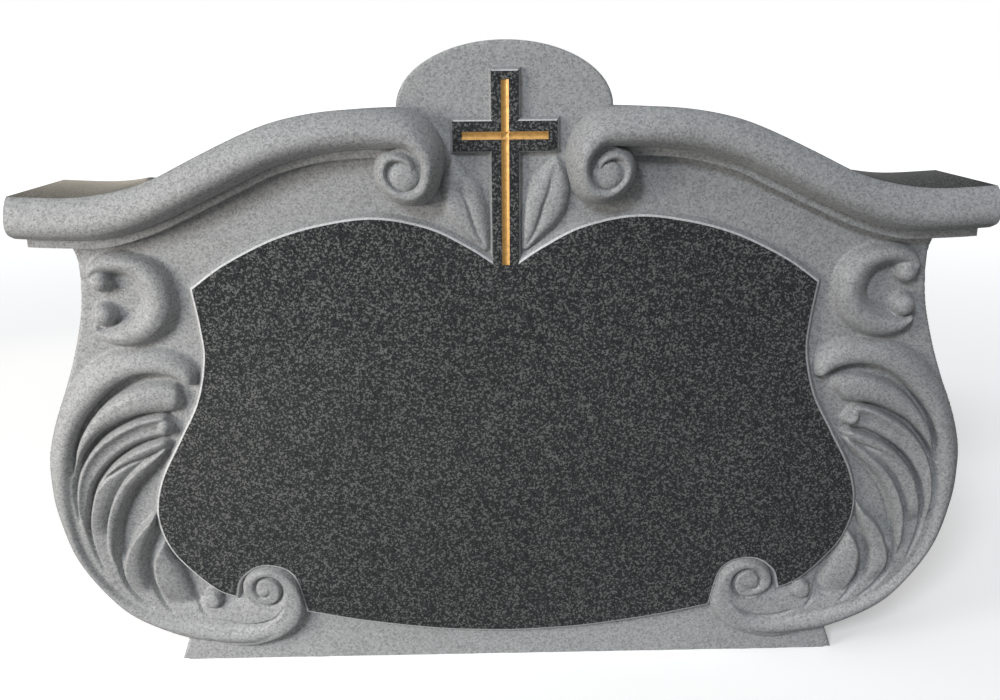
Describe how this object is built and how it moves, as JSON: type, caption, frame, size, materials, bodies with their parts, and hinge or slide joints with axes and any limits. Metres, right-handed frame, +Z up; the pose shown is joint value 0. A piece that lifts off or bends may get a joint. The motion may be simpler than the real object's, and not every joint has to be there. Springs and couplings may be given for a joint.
{
  "type": "granite headstone",
  "caption": "Carved granite headstone with a swept cornice, volutes, leaf scrollwork, a raised heart-shaped panel and a raised Latin cross",
  "frame": {"origin": "middle of the foot's underside, at half the slab's thickness", "axes": "+X to the viewer's right across the stone, +Y from the carved face to the back, +Z up"},
  "size_m": [1.519, 0.24, 1.043],
  "materials": {
    "granite_carved": "honed and hand-carved grey granite",
    "granite_polished": "the same granite polished, near black with light grains",
    "gilding": "gold paint in the sunk lines of the cross"
  },
  "bodies": {
    "root": {"headstone": "granite_carved"}
  },
  "joints": []
}
